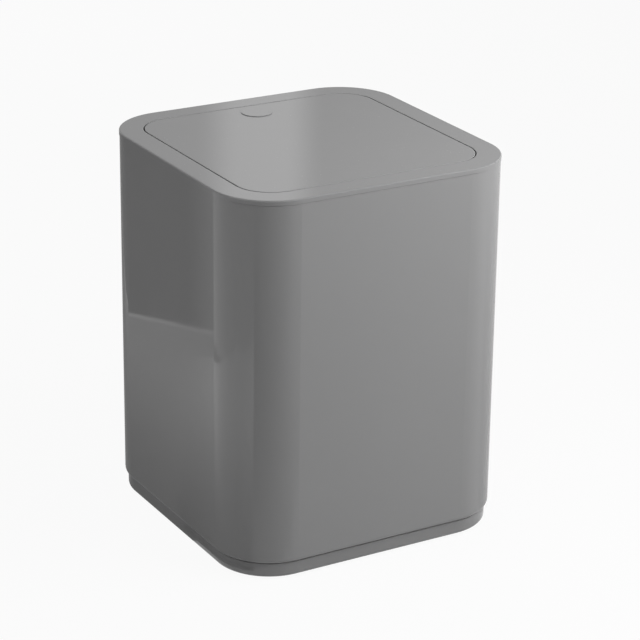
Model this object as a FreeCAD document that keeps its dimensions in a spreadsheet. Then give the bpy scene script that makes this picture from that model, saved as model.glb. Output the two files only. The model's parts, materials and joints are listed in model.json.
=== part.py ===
"""Swing-lid bathroom bin: sleeve, plinth, lift-off lid frame, balanced flap and lift-out bucket.

Millimetres, +Z up. The origin is on the floor under the middle of the bin and the front faces -Y.
The flap swings about the X direction and is pressed at its back, +Y, on the round disc there.
"""
import FreeCAD
import Part
import Sketcher
import math
import os

# Driving dimensions. Angles are in degrees.
SIZES = {
    # The whole bin: a square with round corners, straight from plinth to rim
    "body_width": 190.0,
    "body_height": 240.0,
    "corner_radius": 37.5,
    # Clearances shared by several pieces
    "rest_gap": 0.2,
    "press_clearance": 0.02,
    "running_clearance": 0.05,
    # Outer shell
    "shell_wall": 3.0,
    "shell_floor": 3.0,
    "shell_edge_radius": 3.5,
    "shell_inside_radius": 2.5,
    # Plinth and its feet
    "plinth_height": 9.4,
    "plinth_inset": 2.0,
    "plinth_wall": 2.5,
    "plinth_floor": 4.0,
    "plinth_edge_radius": 2.5,
    "foot_stand": 1.0,
    "foot_seat": 1.0,
    "foot_radius": 8.0,
    "foot_chamfer": 0.4,
    "foot_clearance": 0.15,
    "foot_margin": 33.0,
    # Screws from the plinth into the shell
    "base_screw_margin": 22.0,
    "base_screw_radius": 1.7,
    "base_head_radius": 3.5,
    "base_head_height": 2.0,
    "base_head_recess": 0.4,
    "base_head_clearance": 0.5,
    "base_hole_clearance": 0.3,
    "base_tip_cover": 1.0,
    "base_tip_room": 0.6,
    "base_boss_radius": 4.5,
    # Driver slots in every screw head
    "driver_length": 3.6,
    "driver_width": 0.9,
    "driver_depth": 0.9,
    # Lid frame
    "rim_width": 15.0,
    "cap_thick": 3.0,
    "cap_overhang": 0.3,
    "cap_edge_radius": 0.8,
    "mouth_edge_radius": 0.4,
    "skirt_wall": 2.0,
    "skirt_depth": 12.0,
    "skirt_clearance": 0.3,
    "collar_wall": 2.0,
    "web_thick": 1.6,
    "web_drop": 8.0,
    "web_spread": 40.0,
    "lug_width": 18.0,
    "lug_clearance": 0.6,
    "ledge_reach": 10.0,
    "ledge_thick": 2.2,
    "nib_reach": 4.5,
    "nib_length": 4.5,
    "nib_gap": 0.4,
    "flap_opening": 75.0,
    # Rubber pads on the ledge
    "pad_length": 12.0,
    "pad_width": 6.0,
    "pad_proud": 1.5,
    "pad_seat": 0.8,
    "pad_clearance": 0.1,
    "pad_spread": 36.0,
    "pad_edge_gap": 1.4,
    # Pivot pins and bushes
    "pin_radius": 2.0,
    "pin_head_radius": 3.4,
    "pin_head": 1.5,
    "pin_play": 0.15,
    "pin_end_room": 0.8,
    "pin_access": 0.4,
    "head_clearance": 0.6,
    "bush_wall": 1.3,
    "bush_flange": 1.0,
    "bush_flange_width": 1.1,
    "bush_end_room": 0.3,
    # Flap
    "flap_gap": 0.7,
    "flap_wall": 2.0,
    "flap_skin": 3.0,
    "flap_edge_radius": 0.4,
    "boss_wall": 1.2,
    "boss_length": 8.0,
    "boss_width": 9.0,
    "press_disc_radius": 9.8,
    "press_disc_rise": 0.4,
    "press_disc_margin": 14.3,
    # Cover under the flap, and its screws
    "cover_thick": 2.0,
    "cover_clearance": 0.25,
    "post_radius": 3.5,
    "post_margin": 10.8,
    "cover_screw_radius": 1.15,
    "cover_head_radius": 2.5,
    "cover_head_height": 1.4,
    "cover_hole_clearance": 0.15,
    "cover_tip_cover": 0.8,
    "cover_tip_room": 0.4,
    # Counterweight and the ribs that place it
    "weight_width": 14.0,
    "weight_margin": 22.0,
    "weight_end_gap": 4.5,
    "weight_play": 0.2,
    "weight_chamfer": 0.6,
    "weight_rib_thick": 1.5,
    "weight_rib_height": 4.0,
    "weight_rib_gap": 0.3,
    "weight_rib_inset": 8.0,
    # Inner bucket
    "bucket_wall": 1.8,
    "bucket_floor": 2.0,
    "bucket_draft": 3.5,
    "bucket_edge_radius": 4.0,
    "bucket_inside_radius": 2.5,
    "bucket_clearance": 0.9,
    "bucket_rim_width": 5.0,
    "bucket_rim_thick": 2.0,
    "ear_radius": 3.2,
    "lid_clearance": 1.5,
    # Wire handle of the bucket
    "wire_radius": 1.5,
    "wire_bend": 2.3,
    "wire_ear_gap": 0.3,
    "wire_stub": 1.5,
}

# Places and sizes that follow from the driving dimensions. A "half" is a distance from the bin's
# middle to a side, and a name that ends in low, top or height is a level above the floor.
PLACES = {
    "cap_half": "Sizes.body_width / 2",
    "cap_low": "Sizes.body_height - Sizes.cap_thick",
    "mouth_half": "cap_half - Sizes.rim_width",
    "mouth_radius": "Sizes.corner_radius - Sizes.rim_width",
    # Shell and plinth
    "shell_half": "cap_half - Sizes.cap_overhang",
    "shell_radius": "Sizes.corner_radius - Sizes.cap_overhang",
    "shell_inner_half": "shell_half - Sizes.shell_wall",
    "shell_inner_radius": "shell_radius - Sizes.shell_wall",
    "shell_low": "Sizes.foot_stand + Sizes.plinth_height",
    "shell_floor_top": "shell_low + Sizes.shell_floor",
    "shell_top": "cap_low - Sizes.rest_gap",
    "plinth_half": "shell_half - Sizes.plinth_inset",
    "plinth_radius": "shell_radius - Sizes.plinth_inset",
    "plinth_inner_half": "plinth_half - Sizes.plinth_wall",
    "plinth_inner_radius": "plinth_radius - Sizes.plinth_wall",
    "plinth_floor_top": "Sizes.foot_stand + Sizes.plinth_floor",
    "foot_reach": "plinth_half - Sizes.foot_margin",
    "base_screw_reach": "plinth_half - Sizes.base_screw_margin",
    "base_head_low": "Sizes.foot_stand + Sizes.base_head_recess",
    "base_head_top": "base_head_low + Sizes.base_head_height",
    "base_pilot_top": "shell_floor_top - Sizes.base_tip_cover",
    "base_screw_tip": "base_pilot_top - Sizes.base_tip_room",
    # Lid frame and its pivots
    "skirt_half": "shell_inner_half - Sizes.skirt_clearance",
    "skirt_radius": "shell_inner_radius - Sizes.skirt_clearance",
    "skirt_inner_half": "skirt_half - Sizes.skirt_wall",
    "skirt_inner_radius": "skirt_radius - Sizes.skirt_wall",
    "collar_half": "mouth_half + Sizes.collar_wall",
    "collar_radius": "mouth_radius + Sizes.collar_wall",
    "bush_bore": "Sizes.pin_radius + Sizes.running_clearance",
    "bush_radius": "bush_bore + Sizes.bush_wall",
    "bush_flange_radius": "bush_radius + Sizes.bush_flange_width",
    "axis_height": "cap_low - Sizes.lug_clearance - bush_flange_radius",
    "pin_head_end": "skirt_inner_half - Sizes.head_clearance",
    "pin_head_seat": "pin_head_end - Sizes.pin_head",
    "bush_flange_end": "pin_head_seat - Sizes.pin_play",
    "lug_end": "bush_flange_end - Sizes.bush_flange",
    # Flap
    "flap_half": "mouth_half - Sizes.flap_gap",
    "flap_radius": "mouth_radius - Sizes.flap_gap",
    "flap_inner_half": "flap_half - Sizes.flap_wall",
    "flap_inner_radius": "flap_radius - Sizes.flap_wall",
    "skin_low": "Sizes.body_height - Sizes.flap_skin",
    "cover_top": "axis_height - Sizes.pin_radius - Sizes.boss_wall",
    "flap_low": "cover_top - Sizes.cover_thick",
    "cover_half": "flap_inner_half - Sizes.cover_clearance",
    "cover_radius": "flap_inner_radius - Sizes.cover_clearance",
    "boss_end": "flap_inner_half - Sizes.boss_length",
    "pin_end": "boss_end + Sizes.pin_end_room",
    "press_disc_back": "flap_half - Sizes.press_disc_margin",
    "post_reach": "flap_inner_half - Sizes.post_margin",
    "cover_head_top": "flap_low + Sizes.cover_head_height",
    "cover_pilot_top": "skin_low - Sizes.cover_tip_cover",
    "cover_screw_tip": "cover_pilot_top - Sizes.cover_tip_room",
    "weight_front": "flap_inner_half - Sizes.weight_margin",
    "weight_length": "2 * (post_reach - Sizes.post_radius - Sizes.weight_end_gap)",
    "weight_top": "skin_low - Sizes.weight_play",
    "weight_rib_offset": "Sizes.weight_width / 2 + Sizes.weight_rib_gap + Sizes.weight_rib_thick / 2",
    # Rest ledge, and the nibs that stop the open flap: at that angle the flap's underside, which
    # lies flap_below under the axis, has come up to nib_back on the front side of the axis
    "pad_top": "flap_low - Sizes.rest_gap",
    "ledge_top": "pad_top - Sizes.pad_proud",
    "ledge_low": "ledge_top - Sizes.ledge_thick",
    "pad_front": "flap_half - Sizes.pad_edge_gap - Sizes.pad_width / 2",
    "flap_below": "axis_height - flap_low",
    "nib_top": "flap_low - Sizes.nib_gap",
    "nib_rise": "flap_below * (1 - cos(Sizes.flap_opening)) + Sizes.nib_gap",
    "nib_back": "flap_below * sin(Sizes.flap_opening) - nib_rise / tan(Sizes.flap_opening) + Sizes.rest_gap",
    # Bucket and its handle
    "bail_height": "ledge_low - Sizes.lid_clearance - Sizes.ear_radius",
    "bucket_top": "bail_height - Sizes.wire_radius - Sizes.rest_gap",
    "bucket_low": "shell_floor_top + Sizes.rest_gap",
    "bucket_floor_top": "bucket_low + Sizes.bucket_floor",
    "bucket_rim_low": "bucket_top - Sizes.bucket_rim_thick",
    "bucket_rim_half": "shell_inner_half - Sizes.bucket_clearance",
    "bucket_rim_radius": "shell_inner_radius - Sizes.bucket_clearance",
    "bucket_half": "bucket_rim_half - Sizes.bucket_rim_width",
    "bucket_radius": "bucket_rim_radius - Sizes.bucket_rim_width",
    "bucket_inner_half": "bucket_half - Sizes.bucket_wall",
    "bucket_foot_half": "bucket_half - Sizes.bucket_draft",
    "bucket_foot_radius": "bucket_radius - Sizes.bucket_draft",
    "bucket_slope": "Sizes.bucket_draft / (bucket_top - bucket_low)",
    "bucket_taper": "atan(bucket_slope)",
    "bucket_inner_foot_half": "bucket_foot_half + Sizes.bucket_floor * bucket_slope - Sizes.bucket_wall",
    "bucket_inner_foot_radius": "bucket_foot_radius + Sizes.bucket_floor * bucket_slope - Sizes.bucket_wall",
    "bail_arm": "bucket_half + Sizes.wire_ear_gap + Sizes.wire_bend",
    "bail_radius": "bucket_rim_radius - bucket_rim_half + bail_arm",
    "bail_stub_end": "bucket_inner_half - Sizes.wire_stub",
}

# The sign that a place takes on each side of the bin's middle
SIDES = {"left": "-", "right": "+"}

SAME_PLACE = 0.001
QUARTER = math.pi / 2

# How a sketch's constraints name its own axes and the points of its geometry
AXIS_X, AXIS_Y = range(-1, -3, -1)
START, END, CENTRE = range(1, 4)


def fill_sheet(name, cells):
    """Make a spreadsheet with one named cell for each entry."""
    sheet = doc.addObject("Spreadsheet::Sheet", name)
    for row, (alias, content) in enumerate(cells.items(), start=1):
        sheet.set(f"A{row}", alias)
        sheet.set(f"B{row}", content)
        sheet.setAlias(f"B{row}", alias)
    return sheet


def value(expression):
    """Work out an expression of the two sheets as a number."""
    return float(places.evalExpression(expression))


def new_body(label):
    """Start a sub-part."""
    body = doc.addObject("PartDesign::Body", label)
    body.Label = label
    return body


def origin_feature(body, role):
    """Find one of a body's own origin planes or axes."""
    return next(item for item in body.Origin.OriginFeatures if item.Role == role)


def new_sketch(body, role, offset="0", across="0", up="0"):
    """Attach a sketch to an origin plane, moved off it and within it by expressions."""
    sketch = body.newObject("Sketcher::SketchObject", f"{body.Label}_sketch")
    sketch.AttachmentSupport = [(origin_feature(body, role), "")]
    sketch.MapMode = "FlatFace"
    for axis, expression in zip("xyz", (across, up, offset)):
        sketch.setExpression(f"AttachmentOffset.Base.{axis}", expression)
    return sketch


def bind(sketch, expression, kind, *where):
    """Add a dimension to a sketch and tie it to an expression."""
    index = sketch.addConstraint(Sketcher.Constraint(kind, *where, value(expression)))
    sketch.setExpression(f"Constraints[{index}]", expression)


def join(sketch, kind, pairs):
    """Constrain the end of each piece of geometry to the start of its partner."""
    for first, second in pairs:
        sketch.addConstraint(Sketcher.Constraint(kind, first, END, second, START))


def line(start, end):
    """A straight piece of a sketch between two points (x, y)."""
    return Part.LineSegment(FreeCAD.Vector(*start, 0), FreeCAD.Vector(*end, 0))


def arc(centre, radius, start_quarter):
    """A quarter circle of a sketch, turning anticlockwise from a number of quarter turns."""
    circle = Part.Circle(FreeCAD.Vector(*centre, 0), FreeCAD.Vector(0, 0, 1), radius)
    return Part.ArcOfCircle(circle, start_quarter * QUARTER, (start_quarter + 1) * QUARTER)


def rounded_square(sketch, half, radius):
    """Draw a square with round corners about the sketch's origin."""
    reach = value(half)
    corner = value(radius)
    flat = reach - corner
    first = sketch.GeometryCount
    sides = [
        line((-flat, -reach), (flat, -reach)),
        line((reach, -flat), (reach, flat)),
        line((flat, reach), (-flat, reach)),
        line((-reach, flat), (-reach, -flat)),
    ]
    corners = [
        arc((flat, -flat), corner, 3),
        arc((flat, flat), corner, 0),
        arc((-flat, flat), corner, 1),
        arc((-flat, -flat), corner, 2),
    ]
    for side, corner_arc in zip(sides, corners):
        sketch.addGeometry(side)
        sketch.addGeometry(corner_arc)
    loop = [first + index for index in range(8)]
    join(sketch, "Tangent", zip(loop, loop[1:] + loop[:1]))
    for side in (0, 4):
        sketch.addConstraint(Sketcher.Constraint("Horizontal", first + side))
        sketch.addConstraint(Sketcher.Constraint("Vertical", first + side + 2))
    for side in (0, 2, 4, 6):
        bind(sketch, half, "Distance", AXIS_X, START, first + side)
    bind(sketch, radius, "Radius", first + 1)
    for corner_arc in (3, 5, 7):
        sketch.addConstraint(Sketcher.Constraint("Equal", first + 1, first + corner_arc))
    return sketch


def rectangle(sketch, width, height):
    """Draw a rectangle about the sketch's origin."""
    right = value(width) / 2
    upper = value(height) / 2
    points = [(-right, -upper), (right, -upper), (right, upper), (-right, upper)]
    for start, end in zip(points, points[1:] + points[:1]):
        sketch.addGeometry(line(start, end))
    join(sketch, "Coincident", [(0, 1), (1, 2), (2, 3), (3, 0)])
    for side in (0, 2):
        sketch.addConstraint(Sketcher.Constraint("Horizontal", side))
        sketch.addConstraint(Sketcher.Constraint("Vertical", side + 1))
    sketch.addConstraint(Sketcher.Constraint("Symmetric", 0, START, 2, START, AXIS_X, START))
    bind(sketch, width, "DistanceX", 0, START, 0, END)
    bind(sketch, height, "DistanceY", 1, START, 1, END)
    return sketch


def circle(sketch, radius):
    """Draw a circle about the sketch's origin."""
    sketch.addGeometry(Part.Circle(FreeCAD.Vector(), FreeCAD.Vector(0, 0, 1), value(radius)))
    sketch.addConstraint(Sketcher.Constraint("Coincident", 0, CENTRE, AXIS_X, START))
    bind(sketch, radius, "Radius", 0)
    return sketch


def polygon(sketch, points):
    """Draw a closed outline through points given as pairs of expressions."""
    numbers = [(value(x), value(y)) for x, y in points]
    for start, end in zip(numbers, numbers[1:] + numbers[:1]):
        sketch.addGeometry(line(start, end))
    sides = list(range(len(points)))
    join(sketch, "Coincident", zip(sides, sides[1:] + sides[:1]))
    for side, (x, y) in enumerate(points):
        for kind, expression, axis in (("DistanceX", x, AXIS_Y), ("DistanceY", y, AXIS_X)):
            if expression == "0":
                sketch.addConstraint(Sketcher.Constraint("PointOnObject", side, START, axis))
            else:
                bind(sketch, expression, kind, AXIS_X, START, side, START)
    return sketch


def pad(body, sketch, length):
    """Raise a sketch along its normal."""
    feature = body.newObject("PartDesign::Pad", f"{body.Label}_pad")
    feature.Profile = sketch
    feature.setExpression("Length", length)
    return feature


def pocket(body, sketch, length, forward=True):
    """Cut a sketch along its normal, or against it, and check that the cut met the solid."""
    before = body.Shape.Volume
    feature = body.newObject("PartDesign::Pocket", f"{body.Label}_pocket")
    feature.Profile = sketch
    feature.Reversed = forward
    feature.setExpression("Length", length)
    return require_cut(body, before)


def bore(body, radius, up):
    """Drill along X through the whole body at a level."""
    before = body.Shape.Volume
    feature = body.newObject("PartDesign::Pocket", f"{body.Label}_bore")
    feature.Profile = circle(new_sketch(body, "YZ_Plane", up=up), radius)
    feature.Type = "ThroughAll"
    feature.SideType = "Symmetric"
    return require_cut(body, before)


def require_cut(body, before):
    """Recompute after a cut and make sure that the solid has lost material."""
    doc.recompute()
    feature = body.Tip
    if feature.Shape.Volume >= before:
        raise RuntimeError(f"{feature.Label} cuts nothing from {body.Label}")
    return feature


def revolve(body, sketch, axis, kind="Revolution"):
    """Turn a sketch about one of its own axes, as added or removed material."""
    feature = body.newObject(f"PartDesign::{kind}", f"{body.Label}_{kind.lower()}")
    feature.Profile = sketch
    feature.ReferenceAxis = (sketch, [axis])
    feature.Angle = 360
    return feature


def quarter_turns(body, originals):
    """Repeat features at the four sides of the bin."""
    feature = body.newObject("PartDesign::PolarPattern", f"{body.Label}_pattern")
    feature.Originals = originals
    feature.Axis = (origin_feature(body, "Z_Axis"), [""])
    feature.Angle = 360
    feature.Occurrences = 4
    body.Tip = feature
    return feature


def mirror(body, originals, role):
    """Repeat features on the other side of an origin plane."""
    feature = body.newObject("PartDesign::Mirrored", f"{body.Label}_mirror")
    feature.Originals = originals
    feature.MirrorPlane = (origin_feature(body, role), [""])
    body.Tip = feature
    return feature


def level_edges(feature, level, half):
    """Name the edges of a feature that lie flat at a level and reach out as far as a half width."""
    height = value(level)
    reach = value(half)
    names = []
    for index, edge in enumerate(feature.Shape.Edges, start=1):
        heights = [edge.BoundBox.ZMin, edge.BoundBox.ZMax]
        extent = max(max(abs(vertex.X), abs(vertex.Y)) for vertex in edge.Vertexes)
        off_level = max(abs(edge_height - height) for edge_height in heights)
        if off_level < SAME_PLACE and abs(extent - reach) < SAME_PLACE:
            names.append(f"Edge{index}")
    return names


def soften(body, level, half, size, kind="Fillet"):
    """Round or chamfer the edges that lie flat at a level and reach out as far as a half width."""
    doc.recompute()
    base = body.Tip
    feature = body.newObject(f"PartDesign::{kind}", f"{body.Label}_{kind.lower()}")
    feature.Base = (base, level_edges(base, level, half))
    feature.setExpression("Radius" if kind == "Fillet" else "Size", size)
    doc.recompute()
    return feature


def ring(sketch, half, radius, inner_half, inner_radius):
    """Draw a band between two rounded squares."""
    rounded_square(sketch, half, radius)
    return rounded_square(sketch, inner_half, inner_radius)


def driver_slots(body, level, across="0", up="0"):
    """Cut a cross into a screw head from below and return the two cuts."""
    cuts = []
    for width, height in (("driver_length", "driver_width"), ("driver_width", "driver_length")):
        slot = new_sketch(body, "XY_Plane", level, across, up)
        rectangle(slot, f"Sizes.{width}", f"Sizes.{height}")
        cuts.append(pocket(body, slot, "Sizes.driver_depth"))
    return cuts


def make_outer_shell():
    """Sleeve with its floor; the screw bosses stand under the floor, inside the plinth."""
    body = new_body("outer_shell")
    outside = new_sketch(body, "XY_Plane", "Places.shell_low")
    rounded_square(outside, "Places.shell_half", "Places.shell_radius")
    pad(body, outside, "Places.shell_top - Places.shell_low")
    soften(body, "Places.shell_low", "Places.shell_half", "Sizes.shell_edge_radius")
    inside = new_sketch(body, "XY_Plane", "Places.shell_floor_top")
    rounded_square(inside, "Places.shell_inner_half", "Places.shell_inner_radius")
    pocket(body, inside, "Places.shell_top - Places.shell_floor_top")
    soften(body, "Places.shell_floor_top", "Places.shell_inner_half", "Sizes.shell_inside_radius")
    column = new_sketch(body, "XY_Plane", "Places.plinth_floor_top", "Places.base_screw_reach")
    boss = pad(body, circle(column, "Sizes.base_boss_radius"), "Places.shell_low - Places.plinth_floor_top")
    doc.recompute()
    hole = new_sketch(body, "XY_Plane", "Places.plinth_floor_top", "Places.base_screw_reach")
    circle(hole, "Sizes.base_screw_radius + Sizes.press_clearance")
    pilot = pocket(body, hole, "Places.base_pilot_top - Places.plinth_floor_top")
    quarter_turns(body, [boss, pilot])
    return body


def make_base_plinth():
    """Tray under the shell, with counterbored screw holes and round seats for the feet."""
    body = new_body("base_plinth")
    outside = new_sketch(body, "XY_Plane", "Sizes.foot_stand")
    rounded_square(outside, "Places.plinth_half", "Places.plinth_radius")
    pad(body, outside, "Sizes.plinth_height")
    soften(body, "Sizes.foot_stand", "Places.plinth_half", "Sizes.plinth_edge_radius")
    inside = new_sketch(body, "XY_Plane", "Places.plinth_floor_top")
    rounded_square(inside, "Places.plinth_inner_half", "Places.plinth_inner_radius")
    pocket(body, inside, "Places.shell_low - Places.plinth_floor_top")
    hole = new_sketch(body, "XY_Plane", "Sizes.foot_stand", "Places.base_screw_reach")
    circle(hole, "Sizes.base_screw_radius + Sizes.base_hole_clearance")
    through = pocket(body, hole, "Sizes.plinth_floor")
    seat = new_sketch(body, "XY_Plane", "Sizes.foot_stand", "Places.base_screw_reach")
    circle(seat, "Sizes.base_head_radius + Sizes.base_head_clearance")
    counterbore = pocket(body, seat, "Places.base_head_top - Sizes.foot_stand")
    foot = new_sketch(body, "XY_Plane", "Sizes.foot_stand", "Places.foot_reach", "Places.foot_reach")
    circle(foot, "Sizes.foot_radius + Sizes.foot_clearance")
    recess = pocket(body, foot, "Sizes.foot_seat")
    quarter_turns(body, [through, counterbore, recess])
    return body


def make_base_screws():
    """Four screws, heads down, from the plinth into the shell's bosses."""
    body = new_body("base_screws")
    body.AllowCompound = True
    half_section = new_sketch(body, "XZ_Plane", across="Places.base_screw_reach")
    polygon(half_section, [
        ("0", "Places.base_head_low"),
        ("Sizes.base_head_radius", "Places.base_head_low"),
        ("Sizes.base_head_radius", "Places.base_head_top"),
        ("Sizes.base_screw_radius", "Places.base_head_top"),
        ("Sizes.base_screw_radius", "Places.base_screw_tip - Sizes.base_screw_radius"),
        ("0", "Places.base_screw_tip"),
    ])
    screw = revolve(body, half_section, "V_Axis")
    doc.recompute()
    slots = driver_slots(body, "Places.base_head_low", "Places.base_screw_reach")
    quarter_turns(body, [screw, *slots])
    return body


def make_foot(depth_name, depth_side, width_name, width_side):
    """Rubber foot in its seat under one corner of the plinth."""
    body = new_body(f"foot_{depth_name}_{width_name}")
    disc = new_sketch(body, "XY_Plane")
    pad(body, circle(disc, "Sizes.foot_radius"), "Sizes.foot_stand + Sizes.foot_seat")
    soften(body, "0", "Sizes.foot_radius", "Sizes.foot_chamfer", "Chamfer")
    body.setExpression("Placement.Base.x", f"{width_side}Places.foot_reach")
    body.setExpression("Placement.Base.y", f"{depth_side}Places.foot_reach")
    return body


def make_lid_frame():
    """Frame that lifts off: cap, skirt inside the shell, collar round the mouth, lugs and stops."""
    body = new_body("lid_frame")
    outside = new_sketch(body, "XY_Plane", "Places.cap_low")
    rounded_square(outside, "Places.cap_half", "Sizes.corner_radius")
    pad(body, outside, "Sizes.cap_thick")
    soften(body, "Sizes.body_height", "Places.cap_half", "Sizes.cap_edge_radius")
    mouth = new_sketch(body, "XY_Plane", "Places.cap_low")
    rounded_square(mouth, "Places.mouth_half", "Places.mouth_radius")
    pocket(body, mouth, "Sizes.cap_thick")
    soften(body, "Sizes.body_height", "Places.mouth_half", "Sizes.mouth_edge_radius")
    skirt = new_sketch(body, "XY_Plane", "Places.cap_low - Sizes.skirt_depth")
    ring(skirt, "Places.skirt_half", "Places.skirt_radius",
         "Places.skirt_inner_half", "Places.skirt_inner_radius")
    pad(body, skirt, "Sizes.skirt_depth")
    collar = new_sketch(body, "XY_Plane", "Places.ledge_low")
    ring(collar, "Places.collar_half", "Places.collar_radius",
         "Places.mouth_half", "Places.mouth_radius")
    pad(body, collar, "Places.cap_low - Places.ledge_low")
    add_frame_webs(body)
    add_frame_lugs(body)
    add_frame_ledge(body)
    return body


def add_frame_webs(body):
    """Webs under the cap that tie the collar to the skirt, two on each side."""
    inner = "(Places.mouth_half + Places.collar_half) / 2"
    outer = "(Places.skirt_inner_half + Places.skirt_half) / 2"
    webs = []
    for side in SIDES.values():
        web = new_sketch(body, "XY_Plane", "Places.cap_low - Sizes.web_drop",
                         f"{side}Sizes.web_spread", f"({inner} + {outer}) / 2")
        rectangle(web, "Sizes.web_thick", f"{outer} - {inner}")
        webs.append(pad(body, web, "Sizes.web_drop"))
    doc.recompute()
    quarter_turns(body, webs)


def add_frame_lugs(body):
    """Bearing lugs at both ends of the flap's axis, each with a nib that stops the open flap."""
    lug = new_sketch(body, "XY_Plane", "Places.ledge_low", "(Places.mouth_half + Places.lug_end) / 2")
    rectangle(lug, "Places.lug_end - Places.mouth_half", "Sizes.lug_width")
    block = pad(body, lug, "Places.cap_low - Places.ledge_low")
    stop = new_sketch(body, "XY_Plane", "Places.ledge_low", "Places.mouth_half - Sizes.nib_reach / 2",
                      "-Places.nib_back - Sizes.nib_length / 2")
    rectangle(stop, "Sizes.nib_reach", "Sizes.nib_length")
    nib = pad(body, stop, "Places.nib_top - Places.ledge_low")
    doc.recompute()
    mirror(body, [block, nib], "YZ_Plane")
    doc.recompute()
    bore(body, "Places.bush_radius + Sizes.press_clearance", "Places.axis_height")
    for side in SIDES.values():
        access = new_sketch(body, "YZ_Plane", f"{side}Places.lug_end", up="Places.axis_height")
        circle(access, "Sizes.pin_head_radius + Sizes.pin_access")
        pocket(body, access, "Places.cap_half - Places.lug_end", forward=side == "+")


def add_frame_ledge(body):
    """Ledge under the flap's front edge, with a seat for each rubber pad."""
    shelf = new_sketch(body, "XY_Plane", "Places.ledge_low",
                       up="-(Places.collar_half + Places.mouth_half - Sizes.ledge_reach) / 2")
    rectangle(shelf, "2 * (Places.mouth_half - Places.mouth_radius)",
              "Places.collar_half - Places.mouth_half + Sizes.ledge_reach")
    pad(body, shelf, "Sizes.ledge_thick")
    doc.recompute()
    for side in SIDES.values():
        seat = new_sketch(body, "XY_Plane", "Places.ledge_top - Sizes.pad_seat",
                          f"{side}Sizes.pad_spread", "-Places.pad_front")
        rectangle(seat, "Sizes.pad_length + 2 * Sizes.pad_clearance",
                  "Sizes.pad_width + 2 * Sizes.pad_clearance")
        pocket(body, seat, "Sizes.pad_seat")


def make_pivot_bush(name, side):
    """Flanged bush in a lug; its flange bears the pin's head."""
    body = new_body(f"pivot_bush_{name}")
    half_section = new_sketch(body, "XZ_Plane")
    polygon(half_section, [
        ("Places.mouth_half + Sizes.bush_end_room", "Places.bush_bore"),
        ("Places.bush_flange_end", "Places.bush_bore"),
        ("Places.bush_flange_end", "Places.bush_flange_radius"),
        ("Places.lug_end", "Places.bush_flange_radius"),
        ("Places.lug_end", "Places.bush_radius"),
        ("Places.mouth_half + Sizes.bush_end_room", "Places.bush_radius"),
    ])
    revolve(body, half_section, "H_Axis")
    return turn_to_side(body, side)


def make_pivot_pin(name, side):
    """Headed pin, pressed into the flap's boss and turning in the bush."""
    body = new_body(f"pivot_pin_{name}")
    half_section = new_sketch(body, "XZ_Plane")
    polygon(half_section, [
        ("Places.pin_end", "0"),
        ("Places.pin_head_end", "0"),
        ("Places.pin_head_end", "Sizes.pin_head_radius"),
        ("Places.pin_head_seat", "Sizes.pin_head_radius"),
        ("Places.pin_head_seat", "Sizes.pin_radius"),
        ("Places.pin_end", "Sizes.pin_radius"),
    ])
    revolve(body, half_section, "H_Axis")
    return turn_to_side(body, side)


def turn_to_side(body, side):
    """Raise a piece drawn along +X to the flap's axis, on the right or turned to the left."""
    body.Placement.Rotation = FreeCAD.Rotation(FreeCAD.Vector(0, 0, 1), 0 if side == "+" else 180)
    body.setExpression("Placement.Base.z", "Places.axis_height")
    return body


def make_rest_pad(name, side):
    """Rubber pad in its seat on the ledge."""
    body = new_body(f"rest_pad_{name}")
    block = new_sketch(body, "XY_Plane", "Places.ledge_top - Sizes.pad_seat")
    rectangle(block, "Sizes.pad_length", "Sizes.pad_width")
    pad(body, block, "Sizes.pad_seat + Sizes.pad_proud")
    body.setExpression("Placement.Base.x", f"{side}Sizes.pad_spread")
    body.setExpression("Placement.Base.y", "-Places.pad_front")
    return body


def make_flap_panel():
    """Swinging panel: skin, side wall, press disc, pin bosses, cover posts and weight ribs."""
    body = new_body("flap_panel")
    outside = new_sketch(body, "XY_Plane", "Places.flap_low")
    rounded_square(outside, "Places.flap_half", "Places.flap_radius")
    pad(body, outside, "Sizes.body_height - Places.flap_low")
    soften(body, "Sizes.body_height", "Places.flap_half", "Sizes.flap_edge_radius")
    inside = new_sketch(body, "XY_Plane", "Places.flap_low")
    rounded_square(inside, "Places.flap_inner_half", "Places.flap_inner_radius")
    pocket(body, inside, "Places.skin_low - Places.flap_low")
    add_press_disc(body)
    add_flap_posts(body)
    add_weight_ribs(body)
    add_pin_bosses(body)
    return body


def add_press_disc(body):
    """Low round disc near the back edge that shows where to press."""
    disc = new_sketch(body, "XY_Plane", "Sizes.body_height", up="Places.press_disc_back")
    pad(body, circle(disc, "Sizes.press_disc_radius"), "Sizes.press_disc_rise")
    doc.recompute()


def add_flap_posts(body):
    """Four posts under the skin that take the cover's screws."""
    column = new_sketch(body, "XY_Plane", "Places.cover_top", "Places.post_reach", "Places.post_reach")
    post = pad(body, circle(column, "Sizes.post_radius"), "Places.skin_low - Places.cover_top")
    doc.recompute()
    hole = new_sketch(body, "XY_Plane", "Places.cover_top", "Places.post_reach", "Places.post_reach")
    circle(hole, "Sizes.cover_screw_radius + Sizes.press_clearance")
    pilot = pocket(body, hole, "Places.cover_pilot_top - Places.cover_top")
    quarter_turns(body, [post, pilot])
    doc.recompute()


def add_weight_ribs(body):
    """Two ribs under the skin with the counterweight between them."""
    for side in SIDES.values():
        rib = new_sketch(body, "XY_Plane", "Places.skin_low - Sizes.weight_rib_height",
                         up=f"{side}Places.weight_rib_offset - Places.weight_front")
        rectangle(rib, "Places.weight_length - 2 * Sizes.weight_rib_inset", "Sizes.weight_rib_thick")
        pad(body, rib, "Sizes.weight_rib_height")
        doc.recompute()


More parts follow.
